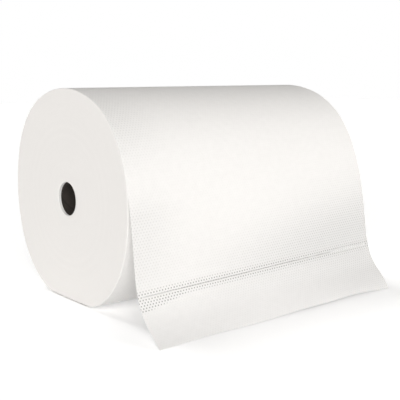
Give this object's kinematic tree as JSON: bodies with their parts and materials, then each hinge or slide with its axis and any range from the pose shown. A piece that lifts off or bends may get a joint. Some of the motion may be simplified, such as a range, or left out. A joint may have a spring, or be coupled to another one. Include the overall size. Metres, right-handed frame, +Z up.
{
  "type": "nonwoven wipe roll",
  "caption": "Wide roll of white nonwoven wiping cloth on a cardboard core, lying on its side, with a perforated loose end flared out on the surface.",
  "frame": {"origin": "middle of the core's bore, on its axis, halfway along the roll", "axes": "+X along the core, +Z up, and the loose end of the web hangs down on the -Y side; the roll rests on the plane z = -0.1296 m"},
  "size_m": [0.401, 0.3605, 0.2658],
  "materials": {
    "web": "white embossed nonwoven, matte",
    "core": "dark wound board, matte"
  },
  "bodies": {
    "root": {"wipe_web": "web", "cardboard_core": "core"}
  },
  "joints": []
}
